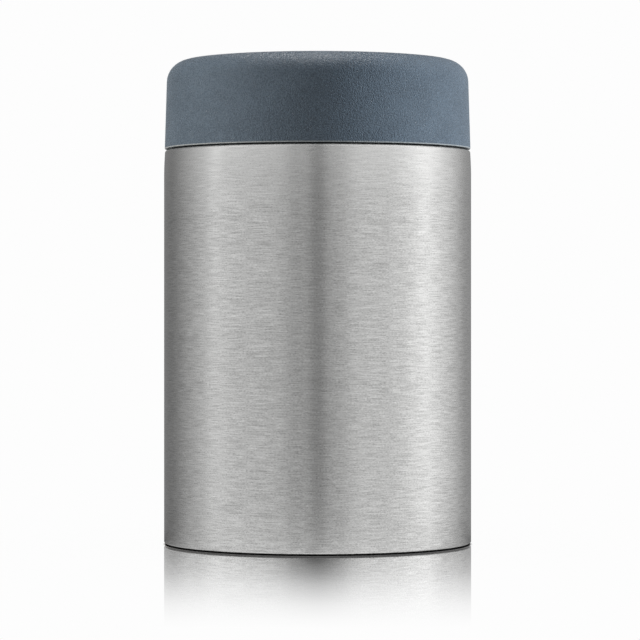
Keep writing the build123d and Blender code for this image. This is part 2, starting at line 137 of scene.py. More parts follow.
# %% [markdown]
# ## The studio that the steel shows
#
# Brushed steel has hardly any colour of its own. It shows the room as upright bands, because the
# brush lines run round the jar and smear a reflection up and down, but not sideways. So the room
# is described by compass angle: 0 is where the camera stands, and positive angles are to the
# right. The camera's own place is a narrow dark gap, a bright strip light stands on the right, a
# softer one on the left, and grey flags stand behind the jar and draw dark edges on it. The room
# gets a little brighter upwards, which lights the first millimetres under the lid.
#
# A world node tree can do this: the direction's angle picks a grey from a ramp. Rays that come
# straight from the camera, pass through something clear or bounce off the mirror-smooth floor see
# a plain white background. Soft light for dull surfaces is even, and stays weak, because the lamps
# add to it. Blender can't tell kinds of ray apart when it aims rays at the world, so the world's
# own sampling is switched off.
#
# The floor mirrors the jar from below, and seen from there the steel shows the ceiling, which is
# black over the camera and bright over the strip lights. Such rays have bounced off two glossy
# surfaces, and for them a second ramp changes the first.


# %% World
def fill_ramp(ramp, stops):
    """Gives a colour ramp its grey stops, from a list of (position, brightness)."""
    elements = ramp.color_ramp.elements
    while len(elements) < len(stops):
        elements.new(0.5)
    for element, (position, _) in zip(elements, stops):
        element.position = position
    for element, (_, grey) in zip(elements, stops):
        element.color = (grey, grey, grey, 1)


BACKGROUND = linear("#FDFDFD")
AMBIENT = 0.08
UPWARD_GAIN = 0.6  # how much brighter the room is straight above
ONE_BOUNCE = 1.5  # a glossy depth above this has bounced off the floor and off the steel
CEILING = [  # compass angle in degrees, brightness against that of the room
    (-180, 2.0), (-150, 2.0), (-125, 1.6), (-95, 1.2), (-60, 1.25), (-40, 1.15), (-25, 0.84), (-10, 0.30),
    (0, 0.0), (10, 0.32), (25, 0.95), (40, 1.15), (60, 1.25), (90, 1.07), (110, 0.86), (145, 1.2), (180, 1.4),
]
STUDIO = [  # compass angle in degrees, brightness of the room
    (-180, 0.23), (-150, 0.22), (-141, 0.23), (-131, 0.30), (-121, 0.41), (-104, 0.60), (-92, 0.77),
    (-85, 0.92), (-80, 0.90), (-73, 0.78), (-52, 0.68), (-31, 0.62), (-25, 0.54), (-18, 0.44),
    (-11, 0.455), (-6.0, 0.41), (-4.0, 0.275), (4.0, 0.265), (6.0, 0.41), (12, 0.485), (18, 0.52),
    (25, 0.65), (32, 0.75), (55, 0.77), (68, 0.88), (84, 1.18), (91, 1.30), (99, 1.13), (112, 0.94),
    (128, 0.67), (144, 0.41), (180, 0.23),
]

world = bpy.data.worlds.new("studio")
bpy.context.scene.world = world
world.use_nodes = True
world.cycles.sampling_method = "NONE"
tree = world.node_tree
direction = add_node(tree, "ShaderNodeTexCoord").outputs["Generated"]
along = add_node(tree, "ShaderNodeSeparateXYZ", {"Vector": direction}).outputs
to_camera = add_node(tree, "ShaderNodeMath", {0: along["Y"], 1: -1.0}, operation="MULTIPLY")
angle = add_node(tree, "ShaderNodeMath", {0: along["X"], 1: to_camera}, operation="ARCTAN2")
turn_share = add_node(
    tree, "ShaderNodeMapRange", {"Value": angle, "From Min": -math.pi, "From Max": math.pi}
)
room = add_node(tree, "ShaderNodeValToRGB", {"Fac": turn_share})
fill_ramp(room, [((degrees + 180) / 360, grey) for degrees, grey in STUDIO])
ceiling = add_node(tree, "ShaderNodeValToRGB", {"Fac": turn_share})
fill_ramp(ceiling, [((degrees + 180) / 360, factor) for degrees, factor in CEILING])

upwards = add_node(tree, "ShaderNodeMath", {0: along["Z"], 1: 0.0}, operation="MAXIMUM")
gain = add_node(tree, "ShaderNodeMath", {0: upwards, 1: UPWARD_GAIN, 2: 1.0}, operation="MULTIPLY_ADD")
light_path = add_node(tree, "ShaderNodeLightPath").outputs
from_below = add_node(
    tree, "ShaderNodeMath", {0: light_path["Glossy Depth"], 1: ONE_BOUNCE}, operation="GREATER_THAN"
)
level = add_node(tree, "ShaderNodeMix", {"Factor": from_below, "A": gain, "B": ceiling})
lit_room = add_node(tree, "ShaderNodeVectorMath", {0: room, "Scale": level}, operation="SCALE")
colour = lit_room.outputs[0]
for ray, seen in (
    ("Is Diffuse Ray", (AMBIENT, AMBIENT, AMBIENT, 1)),
    ("Is Singular Ray", BACKGROUND),
    ("Is Transmission Ray", BACKGROUND),
    ("Is Camera Ray", BACKGROUND),
):
    choice = {"Factor": light_path[ray], MIX_A: colour, MIX_B: seen}
    colour = add_node(tree, "ShaderNodeMix", choice, data_type="RGBA").outputs[MIX_RESULT]
tree.links.new(colour, tree.nodes["Background"].inputs["Color"])
print("world ramp with", len(STUDIO), "stops")

# %% [markdown]
# ## Lamps
#
# Three soft lamps shape the dull surfaces. One stands on each side of the jar, a stronger one on
# the right, and they leave the middle of the lid in half shade. The third is a strip that hangs
# over the jar from front to back. It lights the lid's top and draws the lens-shaped shine on the
# lid's front edge. The side lamps are hidden from reflections, because the world's ramp already
# shows their strips.
#
# A lamp's strength is worked out from the level of light that it should give where it falls
# square on: level 1 shows a colour as it is written.

# %% Lamps
LAMP_DISTANCE, LAMP_HEIGHT = 1.1, 0.25  # metres from the jar's axis, and up from the floor
SIDE_LAMP, STRIP_LAMP = (0.3, 0.4), (0.16, 0.5)  # metres across and along


def soft_lamp(name, place, size, level, colour, in_reflections=False):
    """A soft lamp, as wide and long as size says, that faces the middle of the jar."""
    target = (cad_low + cad_high) / 2
    aim = target - Vector(place)
    bpy.ops.object.light_add(type="AREA", location=place, rotation=aim.to_track_quat("-Z", "Y").to_euler())
    lamp = bpy.context.object
    lamp.name = name
    lamp.data.shape = "RECTANGLE"
    lamp.data.size, lamp.data.size_y = size
    lamp.data.color = linear(colour)[:3]
    lamp.data.energy = level * math.pi**2 * (aim.length**2 + size[0] * size[1] / math.pi)
    lamp.visible_camera = False
    lamp.visible_glossy = in_reflections
    print(name, round(lamp.data.energy, 2), "W")


def beside_jar(degrees):
    """The place of a side lamp: 0 degrees is in front of the jar, and positive is to the right."""
    angle = math.radians(degrees)
    return (LAMP_DISTANCE * math.sin(angle), -LAMP_DISTANCE * math.cos(angle), LAMP_HEIGHT)


soft_lamp("lamp_right", beside_jar(88), SIDE_LAMP, level=1.10, colour="#FFFFFF")
soft_lamp("lamp_left", beside_jar(-84), SIDE_LAMP, level=0.93, colour="#FFF3E8")
soft_lamp("lamp_above", (-0.02, 0.1, 0.75), STRIP_LAMP, level=0.42, colour="#FFFFFF", in_reflections=True)

# %% [markdown]
# ## The floor
#
# The jar stands on glossy white acrylic. Close to the jar it mirrors the steel, and the mirror
# image fades out with distance. One disc does all of it. For the camera it is a mix of white, a
# dull white that takes the jar's soft shadow, and a clear mirror; the mirror's share falls from the
# foot outwards. Right under the jar the floor carries a painted shadow, a near-black matt patch,
# which keeps the thin gap below the shell black. Dull surfaces get the light of a plain grey floor.
#
# Reflections in the steel see the floor only close to the foot, white in front of the jar and
# painted grey beside and behind it, a painted shade that stands for flags taking its light, and
# the studio beyond. The mirror image sees hardly any floor, and what it sees is painted dark.
# From below, the disc is invisible, so the underside can be seen.

# %% Floor
FLOOR_RADIUS, FLOOR_SIDES = 1.5, 128
FLOOR_DROP = 0.02 * MM  # below the foot ring, so that no two faces coincide
FLOOR_IOR = 2.2
GRAZING = (0.15, 0.60)  # shares of a Fresnel reflection at which the mirror sets in and is complete
MIRROR = [  # mm from the axis, share of the mirror; the other lists give their shares in the same way
    (0.0, 0.0), (42.3, 0.0), (42.6, 0.93), (55, 0.90), (72, 0.81), (90, 0.73), (106, 0.62), (121, 0.50),
    (136, 0.395), (151, 0.296), (165, 0.20), (177, 0.134), (190, 0.083), (203, 0.036), (220, 0.0),
]
DULL = [(0.0, 1.0), (42.3, 1.0), (43.0, 0.12), (60, 0.05), (95, 0.0)]
NEAR_FOOT = [(0.0, 0.0), (42.0, 0.0), (42.3, 1.0), (44.0, 1.0), (75, 0.0)]
UNDER_JAR = [(0.0, 1.0), (42.2, 1.0), (42.8, 0.0)]
FLAG_SHADE = (-40, 5)  # mm along y, where the floor's painted shade, standing for flags, starts


def share_from_axis(tree, distance, stops):
    """A share by the distance from the axis, from a list of (millimetres, share)."""
    reach = stops[-1][0]
    out = add_node(tree, "ShaderNodeMapRange", {"Value": distance, "From Max": reach * MM})
    ramp = add_node(tree, "ShaderNodeValToRGB", {"Fac": out})
    fill_ramp(ramp, [(millimetres / reach, share) for millimetres, share in stops])
    return ramp


bpy.ops.mesh.primitive_circle_add(
    vertices=FLOOR_SIDES, radius=FLOOR_RADIUS, fill_type="NGON", location=(0, 0, -FLOOR_DROP)
)
floor = bpy.context.object
floor.name = "floor"
acrylic = bpy.data.materials.new("white_acrylic_floor")
acrylic.use_nodes = True
tree = acrylic.node_tree
tree.nodes.remove(tree.nodes["Principled BSDF"])
place = add_node(tree, "ShaderNodeTexCoord").outputs["Object"]
distance = add_node(tree, "ShaderNodeVectorMath", {0: place}, operation="LENGTH").outputs["Value"]
mirror_share, dull_share, foot_share, under_share = (
    share_from_axis(tree, distance, stops) for stops in (MIRROR, DULL, NEAR_FOOT, UNDER_JAR)
)
fresnel = add_node(tree, "ShaderNodeFresnel", {"IOR": FLOOR_IOR})
sets_in, complete = GRAZING
grazing = add_node(
    tree, "ShaderNodeMapRange", {"Value": fresnel, "From Min": sets_in, "From Max": complete}
)
polish = add_node(tree, "ShaderNodeMath", {0: mirror_share, 1: grazing}, operation="MULTIPLY")
white = add_node(tree, "ShaderNodeEmission", {"Color": BACKGROUND})
# the grey #6A6A6A is a painted shade on the floor beside and behind the jar, the near-black one a painted
# shadow under it
dull, dim, dark, painted_shadow = (
    add_node(tree, "ShaderNodeBsdfDiffuse", {"Color": linear(grey)})
    for grey in ("#F2F2F2", "#B4B4B4", "#6A6A6A", "#1C1C1C")
)
mirror = add_node(tree, "ShaderNodeBsdfGlossy", {"Color": (1, 1, 1, 1), "Roughness": 0.0})
clear = add_node(tree, "ShaderNodeBsdfTransparent")
shaded = add_node(tree, "ShaderNodeMixShader", {"Fac": dull_share, 1: white, 2: dull})
# painted shadow: the floor right under the jar is near-black
matt = add_node(tree, "ShaderNodeMixShader", {"Fac": under_share, 1: shaded, 2: painted_shadow})
for_camera = add_node(tree, "ShaderNodeMixShader", {"Fac": polish, 1: matt, 2: mirror})

light_path = add_node(tree, "ShaderNodeLightPath").outputs
from_below = add_node(
    tree, "ShaderNodeMath", {0: light_path["Glossy Depth"], 1: ONE_BOUNCE}, operation="GREATER_THAN"
)
floor_share = add_node(tree, "ShaderNodeMix", {"Factor": from_below, "A": foot_share, "B": under_share})
# painted shade: the floor that the steel sees is darker beside and behind the jar, and all dark in the mirror
# image
depth = add_node(tree, "ShaderNodeSeparateXYZ", {"Vector": place}).outputs["Y"]
shade_start, shade_end = (side * MM for side in FLAG_SHADE)
flag_shade_share = add_node(
    tree, "ShaderNodeMapRange", {"Value": depth, "From Min": shade_start, "From Max": shade_end}
)
painted_shade_share = add_node(tree, "ShaderNodeMath", {0: flag_shade_share, 1: from_below}, operation="MAXIMUM")
foot_floor = add_node(tree, "ShaderNodeMixShader", {"Fac": painted_shade_share, 1: white, 2: dark})
for_steel = add_node(tree, "ShaderNodeMixShader", {"Fac": floor_share, 1: clear, 2: foot_floor})
seen = dim
for ray, shader in (
    (light_path["Is Glossy Ray"], for_steel),
    (light_path["Is Camera Ray"], for_camera),
    (add_node(tree, "ShaderNodeNewGeometry").outputs["Backfacing"], clear),
):
    seen = add_node(tree, "ShaderNodeMixShader", {"Fac": ray, 1: seen, 2: shader})
tree.links.new(seen.outputs[0], tree.nodes["Material Output"].inputs["Surface"])
floor.data.materials.append(acrylic)
print("floor out to", round(floor.dimensions.x / 2, 2), "m")

# %% [markdown]
# ## How a turned piece is made
#
# A lathe cuts a round part by following a section, and a spinning mould or a rolling tool does the
# same to sheet metal. In Blender the section is drawn beside the axis with one vertex that is
# pushed from corner to corner. The vertex bevel rounds each corner to its real radius, and Spin
# carries the section round. A plain cylinder would be quicker, but its sharp edges would catch no
# light, and a lid's edge is known by the soft line of light on it.
#
# The corners are given as radius, height and rounding in millimetres. A section that starts and
# ends on the axis closes there by itself. Wide flat faces would bend the shading of the small
# roundings beside them, so a Weighted Normal modifier lets the wide faces decide.

# %% Turned pieces
AROUND = 192  # steps round the axis
ROUNDING_STEP = 10  # degrees of bend in each step of a rounded corner
SHARP = math.radians(35)


def select_places(piece, places):
    """Selects the vertices at some places of the piece in edit mode."""
    mesh = bmesh.from_edit_mesh(piece.data)
    bpy.ops.mesh.select_all(action="DESELECT")
    for place in places:
        min(mesh.verts, key=lambda vertex: (vertex.co - place).length).select_set(True)
    mesh.select_flush_mode()
    bmesh.update_edit_mesh(piece.data)


def draw_section(piece, outline):
    """Draws the section beside the axis and rounds its corners."""
    corners = [Vector((radius, 0, height)) * MM for radius, height, rounding in outline]
    bpy.ops.mesh.select_all(action="SELECT")
    bpy.ops.mesh.merge(type="CENTER")
    bpy.ops.transform.translate(value=corners[0])
    for start, end in zip(corners, corners[1:]):
        bpy.ops.mesh.extrude_vertices_move(TRANSFORM_OT_translate={"value": end - start})
    if corners[0].x > 0 or corners[-1].x > 0:
        select_places(piece, (corners[0], corners[-1]))
        bpy.ops.mesh.edge_face_add()
    following = corners[1:] + corners[:1]
    for before, corner, after, (_, _, rounding) in zip(corners[-1:] + corners, corners, following, outline):
        if rounding:
            bend = (corner - before).angle(after - corner)
            select_places(piece, (corner,))
            bpy.ops.mesh.bevel(
                offset=rounding * MM * math.tan(bend / 2),
                segments=max(2, round(math.degrees(bend) / ROUNDING_STEP)),
                affect="VERTICES",
            )


def finish_shading(piece):
    """Smooth faces with sharp edges kept, shaded after the wide faces."""
    bpy.ops.object.select_all(action="DESELECT")
    piece.select_set(True)
    bpy.context.view_layer.objects.active = piece
    bpy.ops.object.shade_smooth_by_angle(angle=SHARP)
    weights = piece.modifiers.new("weights", "WEIGHTED_NORMAL")
    weights.keep_sharp = True
    bpy.ops.object.modifier_apply(modifier=weights.name)
    piece.select_set(False)


def turned_piece(name, outline, around=AROUND):
    """A piece turned about the jar's axis from its outline of (radius, height, rounding)."""
    bpy.ops.object.select_all(action="DESELECT")
    bpy.ops.mesh.primitive_plane_add(size=MM)
    piece = bpy.context.object
    piece.name = piece.data.name = name
    bpy.ops.object.mode_set(mode="EDIT")
    bpy.ops.mesh.select_mode(type="VERT")
    draw_section(piece, outline)
    bpy.ops.mesh.select_all(action="SELECT")
    bpy.ops.mesh.spin(steps=around, angle=2 * math.pi, center=(0, 0, 0), axis=(0, 0, 1))
    bpy.ops.mesh.select_all(action="SELECT")
    bpy.ops.mesh.remove_doubles(threshold=0.001 * MM)
    bpy.ops.mesh.normals_make_consistent()
    bpy.ops.object.mode_set(mode="OBJECT")
    print(name, "turned,", len(piece.data.polygons), "faces")
    return piece


# %% [markdown]
# ## How a thread's ridges are made
#
# The jar has quick threads: four short ridges, a quarter turn apart, that let go after a fifth of
# a turn. Each is a small trapezoid pushed along a helix: a plane is shaped to the section, then
# extruded, lifted and turned in small steps. The ends fade into the wall, because a Boolean with a
# cylinder that is set off the axis leaves the ridge its full height only at mid length. One ridge
# is made, and the other three are copies.

# %% Thread ridges
LEAD = 16.0  # mm of rise in one turn
STARTS = 4
RIDGE_ROOT, RIDGE_CREST = 2.0, 1.1  # widths in mm
RIDGE_SUNK = 0.3  # mm of the ridge inside its own wall
RUN_OUT = 0.1  # mm inside the wall where a ridge ends
RIDGE_STEPS = 20
CUTTER_SIDES, CUTTER_LENGTH = 360, 60


def spin_by(degrees):
    """Turns the selection about the axis, anticlockwise from above."""
    bpy.ops.transform.rotate(value=-math.radians(degrees), orient_axis="Z", center_override=(0, 0, 0))


def cut_with(piece, cutter, operation):
    """Applies a Boolean to the piece and removes the cutter."""
    cut = piece.modifiers.new("cut", "BOOLEAN")
    cut.operation = operation
    cut.object = cutter
    bpy.ops.object.select_all(action="DESELECT")
    bpy.context.view_layer.objects.active = piece
    bpy.ops.object.modifier_apply(modifier=cut.name)
    bpy.data.objects.remove(cutter)


def ridge_run_out(root, crest, span):
    """The cylinder, set off the axis, that a ridge's crest follows."""
    outward = math.copysign(1, crest - root)
    top, foot = crest + outward * RUN_OUT / 2, root - outward * RUN_OUT
    shift = (top**2 - foot**2) / (2 * (top - foot * math.cos(math.radians(span / 2))))
    bpy.ops.mesh.primitive_cylinder_add(
        vertices=CUTTER_SIDES,
        radius=(top - shift) * MM,
        depth=CUTTER_LENGTH * MM,
        location=(shift * MM, 0, 0),
    )
    return bpy.context.object


def one_ridge(root, crest, span):
    """One ridge of the thread from the x axis on, starting at height 0."""
    outward = math.copysign(1, crest - root)
    foot = root - outward * RIDGE_SUNK
    half_foot = RIDGE_ROOT / 2 + RIDGE_SUNK * (RIDGE_ROOT - RIDGE_CREST) / 2 / abs(crest - root)
    bpy.ops.object.select_all(action="DESELECT")
    bpy.ops.mesh.primitive_plane_add(size=MM, rotation=(math.pi / 2, 0, 0))
    ridge = bpy.context.object
    bpy.ops.object.transform_apply()
    bpy.ops.object.mode_set(mode="EDIT")
    bpy.ops.transform.resize(value=(abs(crest - foot), 1, 2 * half_foot))
    bpy.ops.transform.translate(value=((crest + foot) / 2 * MM, 0, 0))
    crest_side = crest * MM
    select_places(ridge, [Vector((crest_side, 0, side * half_foot * MM)) for side in (-1, 1)])
    bpy.ops.transform.resize(value=(1, 1, RIDGE_CREST / 2 / half_foot), center_override=(crest_side, 0, 0))
    bpy.ops.mesh.select_all(action="SELECT")
    spin_by(-span / 2)
    rise = LEAD * span / 360 / RIDGE_STEPS * MM
    for _ in range(RIDGE_STEPS):
        bpy.ops.mesh.extrude_region_move(TRANSFORM_OT_translate={"value": (0, 0, rise)})
        spin_by(span / RIDGE_STEPS)
    bpy.ops.mesh.select_all(action="SELECT")
    bpy.ops.mesh.normals_make_consistent()
    bpy.ops.object.mode_set(mode="OBJECT")
    cut_with(ridge, ridge_run_out(root, crest, span), "INTERSECT" if outward > 0 else "DIFFERENCE")
    return ridge


def add_thread(piece, root, crest, low, start, span):
    """Joins a thread's four ridges to a turned piece. low is the height where each ridge starts."""
    ridge = one_ridge(root, crest, span)
    ridges = [ridge]
    for _ in range(STARTS - 1):
        copy = ridge.copy()
        copy.data = ridge.data.copy()
        bpy.context.collection.objects.link(copy)
        ridges.append(copy)
    for number, copy in enumerate(ridges):
        copy.location.z = low * MM
        copy.rotation_euler.z = math.radians(start + span / 2 + number * 360 / STARTS)
    bpy.ops.object.select_all(action="DESELECT")
    for copy in ridges:
        copy.select_set(True)
    bpy.context.view_layer.objects.active = ridge
    bpy.ops.object.transform_apply()
    piece.select_set(True)
    bpy.context.view_layer.objects.active = piece
    bpy.ops.object.join()
    print(piece.name, "threaded,", len(piece.data.polygons), "faces")


def put_on(piece, body, node, material):
    """Gives the piece its finish, and stands it in for its node on a body of the jar."""
    finish_shading(piece)
    piece.data.materials.clear()
    piece.data.materials.append(material)
    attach(piece, body)
    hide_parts(node)


# %% [markdown]
# ## A start for every finish
#
# Each material starts in the same way: a Principled shader, and the place on the piece in its own
# metres, so that a grain of half a millimetre is half a millimetre everywhere. Three helpers make
# the patterns. The first is a noise that is stretched: the shorter the side of its cell, the finer
# the grain that way. The second makes rings round the axis, as a lathe or a spinning tool leaves
# them, on flat and upright faces alike. The third runs between two colours by such a pattern.

# %% Starts for the finishes
MOST_NOISE = (0.3, 0.7)  # nearly all values of a noise lie between these


def new_finish(name, **values):
    """A material with a Principled shader, its tree, and the place on the piece."""
    material = bpy.data.materials.new(name)
    material.use_nodes = True
    tree = material.node_tree
    shader = tree.nodes["Principled BSDF"]
    for key, value in values.items():
        shader.inputs[key.replace("_", " ")].default_value = value
    return material, tree, shader, add_node(tree, "ShaderNodeTexCoord").outputs["Object"]


def grain(tree, place, cell, detail):
    """Noise whose cells measure the given millimetres along x, y and z."""
    scale = [1 / (side * MM) for side in cell]
    scaled = add_node(tree, "ShaderNodeMapping", {"Vector": place, "Scale": scale})
    return add_node(tree, "ShaderNodeTexNoise", {"Vector": scaled, "Scale": 1.0, "Detail": detail})


def turning_rings(tree, place, spacing):
    """Noise that is the same all round the axis, with rings about the given millimetres apart."""
    split = add_node(tree, "ShaderNodeSeparateXYZ", {"Vector": place}).outputs
    flat = add_node(tree, "ShaderNodeCombineXYZ", {"X": split["X"], "Y": split["Y"]})
    radius = add_node(tree, "ShaderNodeVectorMath", {0: flat}, operation="LENGTH").outputs["Value"]
    along = add_node(tree, "ShaderNodeMath", {0: radius, 1: split["Z"]}, operation="ADD")
    rings = {"W": along, "Scale": 1 / (spacing * MM), "Detail": 2.0}
    return add_node(tree, "ShaderNodeTexNoise", rings, noise_dimensions="1D")


def blend_colours(tree, factor, low, high, first, second):
    """Runs from the first to the second colour as the factor goes from low to high."""
    share = add_node(tree, "ShaderNodeMapRange", {"Value": factor, "From Min": low, "From Max": high})
    colours = {"Factor": share, MIX_A: linear(first), MIX_B: linear(second)}
    return add_node(tree, "ShaderNodeMix", colours, data_type="RGBA").outputs[MIX_RESULT]


def dress(tree, shader, colour, pattern, rough_range, depth, relief=None):
    """Links a finish's colour, its roughness by a pattern, and a bump of a depth in millimetres.

    The bump follows the same pattern, unless it has a relief of its own.
    """
    tree.links.new(colour, shader.inputs["Base Color"])
    low, high = MOST_NOISE
    smooth, dull = rough_range
    rough = add_node(
        tree,
        "ShaderNodeMapRange",
        {"Value": pattern, "From Min": low, "From Max": high, "To Min": smooth, "To Max": dull},
    )
    tree.links.new(rough.outputs[0], shader.inputs["Roughness"])
    raised = {"Distance": depth * MM, "Height": pattern if relief is None else relief}
    bump = add_node(tree, "ShaderNodeBump", raised)
    tree.links.new(bump.outputs[0], shader.inputs["Normal"])


def smear_along_axis(tree, shader):
    """Points an anisotropic metal's brush lines round the jar's axis."""
    tangent = add_node(tree, "ShaderNodeTangent", direction_type="RADIAL", axis="Z")
    tree.links.new(tangent.outputs[0], shader.inputs["Tangent"])


# %% [markdown]
# ## Brushed stainless steel
#
# The body is 18/8 stainless steel, brushed with an abrasive belt while it turns. The scratches run
# round the jar. Most of them are under a millimetre long, some are a few millimetres long, and all
# are under a tenth of a millimetre wide. They smear reflections up and down, which is what the
# anisotropic setting is for, with its tangent turned along the axis. The deeper ones trap light and
# show as darker hairs. They are drawn 0.15 millimetres wide, because finer ones would vanish at
# this size. The belt's pressure varies too, so there are faint broader bands. Over the last two
# centimetres below the shoulder the lines lose contrast, as a finer brushing would, and the colour
# is painted paler there: a painted highlight that stands in for more light under the lid.

# %% Brushed steel
SCRATCH, HAIR, BELT_BAND = (0.5, 0.5, 0.15), (3.8, 3.8, 0.15), (40, 40, 4)  # mm, cells of the patterns
BAND_SHARE = 0.2  # how much the bands count against the lines
FADED_LINES_AND_PAINTED_LIGHT = (90, 107)  # mm, the heights between which the lines fade and the colour is painted paler, a painted highlight
PAINTED_LIGHT_VALUE = 1.42  # the pale value, on the scale of the blend below, that the pattern gets nearer to: painted light
HOW_NEAR = 0.5

brushed_steel, tree, steel, place = new_finish(
    "brushed_stainless_steel", Metallic=1.0, Anisotropic=1.0, Anisotropic_Rotation=0.25
)
smear_along_axis(tree, steel)
scratches = grain(tree, place, SCRATCH, detail=0)
hairs = grain(tree, place, HAIR, detail=0)
bands = grain(tree, place, BELT_BAND, detail=2)
lines = add_node(tree, "ShaderNodeMath", {0: hairs, 1: scratches}, operation="ADD")
worn = add_node(tree, "ShaderNodeMath", {0: bands, 1: BAND_SHARE, 2: lines}, operation="MULTIPLY_ADD")
height = add_node(tree, "ShaderNodeSeparateXYZ", {"Vector": place}).outputs["Z"]
finish_start, finish_end = FADED_LINES_AND_PAINTED_LIGHT
finer = add_node(
    tree,
    "ShaderNodeMapRange",
    {"Value": height, "From Min": finish_start * MM, "From Max": finish_end * MM, "To Max": HOW_NEAR},
)
# towards the shoulder the lines lose contrast and the colour is painted paler: a painted highlight
shade = add_node(tree, "ShaderNodeMix", {"Factor": finer, "A": worn, "B": PAINTED_LIGHT_VALUE})
colour = blend_colours(tree, shade, 0.68, 1.52, "#ABABAA", "#E4E4E3")
dress(tree, steel, colour, scratches, (0.27, 0.33), 0.0015, relief=lines)

# %% [markdown]
# ## Steel inside and under the jar
#
# The vessel is the same steel, but its inside is electropolished so that food lets go of it: a
# bath takes the peaks off the turning marks and leaves soft rings in a bright satin. The pan under
# the base is spun with a tool and keeps crisp rings. The plates that nobody sees stay as the mill
# rolled them, cloudy, with faint rolling lines.

# %% More steels
polished_steel, tree, satin, place = new_finish(
    "electropolished_steel", Metallic=1.0, Anisotropic=0.6, Anisotropic_Rotation=0.25
)
smear_along_axis(tree, satin)
rings = turning_rings(tree, place, 0.9)
cloud = grain(tree, place, (16, 16, 16), detail=3)
colour = blend_colours(tree, cloud, 0.35, 0.65, "#CDCBC7", "#DCDAD6")
dress(tree, satin, colour, rings, (0.19, 0.26), 0.004)

spun_steel, tree, spun, place = new_finish(
    "spun_steel", Metallic=1.0, Anisotropic=0.85, Anisotropic_Rotation=0.25
)
smear_along_axis(tree, spun)
rings = turning_rings(tree, place, 0.5)
colour = blend_colours(tree, rings, 0.35, 0.65, "#B7B6B3", "#D8D7D4")
dress(tree, spun, colour, rings, (0.26, 0.34), 0.012)

mill_steel, tree, mill, place = new_finish("mill_finish_steel", Metallic=1.0)
rolling = grain(tree, place, (14, 0.35, 0.35), detail=2)
cloud = grain(tree, place, (7, 7, 7), detail=4)
colour = blend_colours(tree, cloud, 0.35, 0.65, "#A3A19D", "#BDBBB7")
dress(tree, mill, colour, rolling, (0.34, 0.44), 0.01)

# %% [markdown]
# ## Moulded plastics
#
# The lid and the button are moulded polypropylene in slate. Their mould was spark eroded, which
# leaves an even, fine grain and gives the satin look, with broad, soft highlights. The grain is
# drawn a third of a millimetre wide, because a finer one would vanish at this size. The lid's liner
# and the stopper touch food, so they are plain polypropylene, paler and smoother, and a little
# light sinks into them. In all three the pigment varies by a shade where the melt flowed. The lid's
# lower edge carries a painted highlight: a thin pale band of colour that stands in for the light
# the edge catches from the white floor.

# %% Moulded plastics
SPECKLE_SHARE = 3.0  # how much the grain counts against the flow marks
RIM_FADE = 0.1  # mm over which the painted rim highlight fades into the plastic


def moulded_plastic(name, dark, light, rough_range, grit, depth, glow, painted_rim_highlight=None):
    """Polypropylene between two shades, with a moulded grain of a size and depth in millimetres.

    A painted rim highlight is given as the height that it reaches and its colour.
    """
    material, tree, plastic, place = new_finish(
        name, IOR=1.5, Subsurface_Weight=glow, Subsurface_Radius=(1, 1, 1), Subsurface_Scale=1.5 * MM
    )
    speckle = grain(tree, place, (grit, grit, grit), detail=1)
    flow = grain(tree, place, (11, 11, 6), detail=3)
    mottle = add_node(
        tree, "ShaderNodeMath", {0: speckle, 1: SPECKLE_SHARE, 2: flow}, operation="MULTIPLY_ADD"
    )
    colour = blend_colours(tree, mottle, 1.5, 2.5, dark, light)
    # a pale band of colour along the lower edge, painted to stand in for light caught from the floor
    if painted_rim_highlight:
        rim_height, rim_highlight_colour = painted_rim_highlight
        height = add_node(tree, "ShaderNodeSeparateXYZ", {"Vector": place}).outputs["Z"]
        fade = {"Value": height, "From Min": rim_height * MM, "From Max": (rim_height + RIM_FADE) * MM}
        above = add_node(tree, "ShaderNodeMapRange", fade)
        lit_rim_mix = {"Factor": above, MIX_A: linear(rim_highlight_colour), MIX_B: colour}
        colour = add_node(tree, "ShaderNodeMix", lit_rim_mix, data_type="RGBA").outputs[MIX_RESULT]
    dress(tree, plastic, colour, speckle, rough_range, depth)
    return material


slate_plastic = moulded_plastic(
    "spark_eroded_polypropylene",
    "#475766",
    "#607283",
    (0.24, 0.32),
    grit=0.33,
    depth=0.24,
    glow=0.0,
    # painted highlight: a pale band along the lid's lower edge
    painted_rim_highlight=(109.45, "#A3ACB1"),
)
liner_plastic = moulded_plastic(
    "liner_polypropylene", "#CBD0D2", "#D6DADB", (0.33, 0.40), grit=0.30, depth=0.010, glow=0.08
)
stopper_plastic = moulded_plastic(
    "stopper_polypropylene", "#DADCDB", "#E5E6E4", (0.30, 0.38), grit=0.30, depth=0.008, glow=0.10
)

# %% [markdown]
# ## Silicone rubber
#
# The rings that seal are pressed from silicone. The ones at the food are translucent grey, so light
# sinks in. The ring in the lid's rim and the foot ring are dark and opaque. Silicone is matt, and it
# holds a little dust, which shows as pale specks.


# %% Silicone
def grained_finish(name, cell, detail, shades, rough_range, depth, **values):
    """A finish whose colour, roughness and bump all follow one grain."""
    material, tree, shader, place = new_finish(name, **values)
    pattern = grain(tree, place, cell, detail)
    dress(tree, shader, blend_colours(tree, pattern, *shades), pattern, rough_range, depth)
    return material


def silicone_rubber(name, dark, light, rough_range, glow):
    """Pressed silicone between two shades, with fine dust on it."""
    sunk_light = {"Subsurface_Weight": glow, "Subsurface_Radius": (1, 1, 1), "Subsurface_Scale": 1.2 * MM}
    shades = (0.4, 0.75, dark, light)
    return grained_finish(name, (0.35, 0.35, 0.35), 3, shades, rough_range, 0.02, IOR=1.42, **sunk_light)


clear_silicone = silicone_rubber("translucent_silicone", "#C4CACC", "#D2D6D7", (0.42, 0.52), 0.35)
dark_silicone = silicone_rubber("dark_silicone", "#1D2023", "#30343A", (0.5, 0.62), 0.0)

